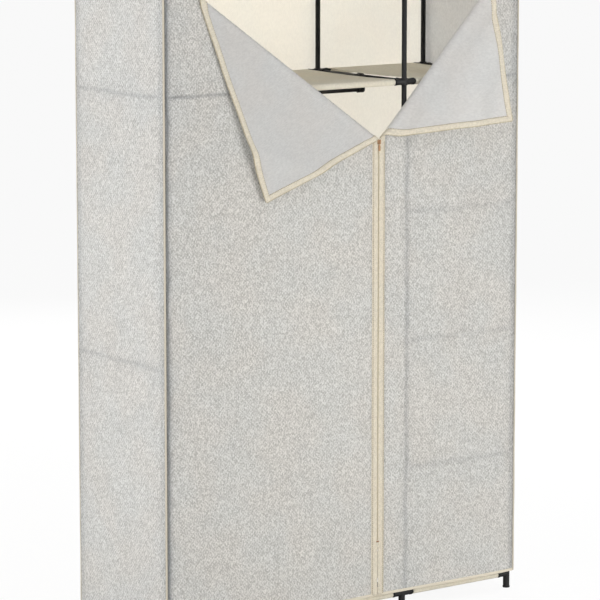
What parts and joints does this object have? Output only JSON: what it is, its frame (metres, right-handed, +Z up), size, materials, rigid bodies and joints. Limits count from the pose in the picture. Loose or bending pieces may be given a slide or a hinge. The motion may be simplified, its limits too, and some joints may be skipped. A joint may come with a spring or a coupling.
{
  "type": "fabric wardrobe",
  "caption": "Free-standing wardrobe of black tube under a zipped grey cloth cover, its front corners turned out to show a hanging bay and a column of cloth shelves.",
  "frame": {"origin": "on the floor under the middle of the part's footprint, its turned-out corners included", "axes": "+Z up, the zipped front faces -Y, +X to the right as seen from the front"},
  "size_m": [1.1104, 0.4775, 1.7001],
  "materials": {
    "coated_steel": "satin black coating",
    "black_plastic": "moulded, satin",
    "heather_cloth": "non-woven, heather grey",
    "cream_cloth": "non-woven, plain cream",
    "cream_tape": "woven tape",
    "bronze_metal": "plated, slightly worn"
  },
  "bodies": {
    "wardrobe": {"post_front_left": "coated_steel", "post_front_centre": "coated_steel", "post_front_right": "coated_steel", "post_back_left": "coated_steel", "post_back_centre": "coated_steel", "post_back_right": "coated_steel", "base_tube_front_wide_bay": "coated_steel", "base_tube_front_narrow_bay": "coated_steel", "base_tube_back_wide_bay": "coated_steel", "base_tube_back_narrow_bay": "coated_steel", "base_tube_left_side": "coated_steel", "base_tube_centre_side": "coated_steel", "base_tube_right_side": "coated_steel", "shelf_tube_front_wide_bay": "coated_steel", "shelf_tube_front_narrow_bay": "coated_steel", "shelf_tube_back_wide_bay": "coated_steel", "shelf_tube_back_narrow_bay": "coated_steel", "shelf_tube_left_side": "coated_steel", "shelf_tube_centre_side": "coated_steel", "shelf_tube_right_side": "coated_steel", "foot_front_left": "black_plastic", "shelf_fitting_front_left": "black_plastic", "foot_front_centre": "black_plastic", "shelf_fitting_front_centre": "black_plastic", "foot_front_right": "black_plastic", "shelf_fitting_front_right": "black_plastic", "foot_back_left": "black_plastic", "shelf_fitting_back_left": "black_plastic", "foot_back_centre": "black_plastic", "shelf_fitting_back_centre": "black_plastic", "foot_back_right": "black_plastic", "shelf_fitting_back_right": "black_plastic", "tier_frame_1": "coated_steel", "tier_frame_2": "coated_steel", "tier_frame_3": "coated_steel", "top_frame": "coated_steel", "side_rail": "coated_steel", "hanging_rail": "coated_steel", "wide_shelf_bottom": "cream_cloth", "wide_shelf_top": "cream_cloth", "narrow_shelf_0": "cream_cloth", "narrow_shelf_1": "cream_cloth", "narrow_shelf_2": "cream_cloth", "narrow_shelf_3": "cream_cloth", "narrow_shelf_4": "cream_cloth", "roof_panel": "heather_cloth", "left_side_panel": "heather_cloth", "right_side_panel": "heather_cloth", "header": "heather_cloth", "left_door": "heather_cloth", "right_door": "heather_cloth", "back_panel": "cream_cloth", "left_zip_tape": "cream_tape", "right_zip_tape": "cream_tape"},
    "zip_slider": {"zip_slider": "bronze_metal"},
    "zip_pull": {"zip_pull": "bronze_metal"},
    "left_flap": {"left_flap": "heather_cloth"},
    "right_flap": {"right_flap": "heather_cloth"},
    "top_slider_left": {"top_slider_left": "bronze_metal"},
    "top_slider_right": {"top_slider_right": "bronze_metal"}
  },
  "joints": [
    {"name": "zip_slide", "type": "slide", "parent": "wardrobe", "child": "zip_slider", "axis": [0, 0, 1], "range_m": [-1.016, 0.377]},
    {"name": "zip_pull_swing", "type": "hinge", "parent": "zip_slider", "child": "zip_pull", "pos_m": [0.096, -0.16095, 1.2117], "axis": [-1, 0, 0], "range_deg": [0, 170]},
    {"name": "left_flap_fold", "type": "hinge", "parent": "wardrobe", "child": "left_flap", "pos_m": [0.096, -0.1581, 1.217], "axis": [-0.8205, 0, 0.5717], "range_deg": [0, 177]},
    {"name": "right_flap_fold", "type": "hinge", "parent": "wardrobe", "child": "right_flap", "pos_m": [0.096, -0.1581, 1.217], "axis": [-0.6864, 0, -0.7272], "range_deg": [0, 164]},
    {"name": "top_slide_left", "type": "slide", "parent": "wardrobe", "child": "top_slider_left", "axis": [1, 0, 0], "range_m": [0, 0.556]},
    {"name": "top_slide_right", "type": "slide", "parent": "wardrobe", "child": "top_slider_right", "axis": [-1, 0, 0], "range_m": [0, 0.3669]}
  ]
}
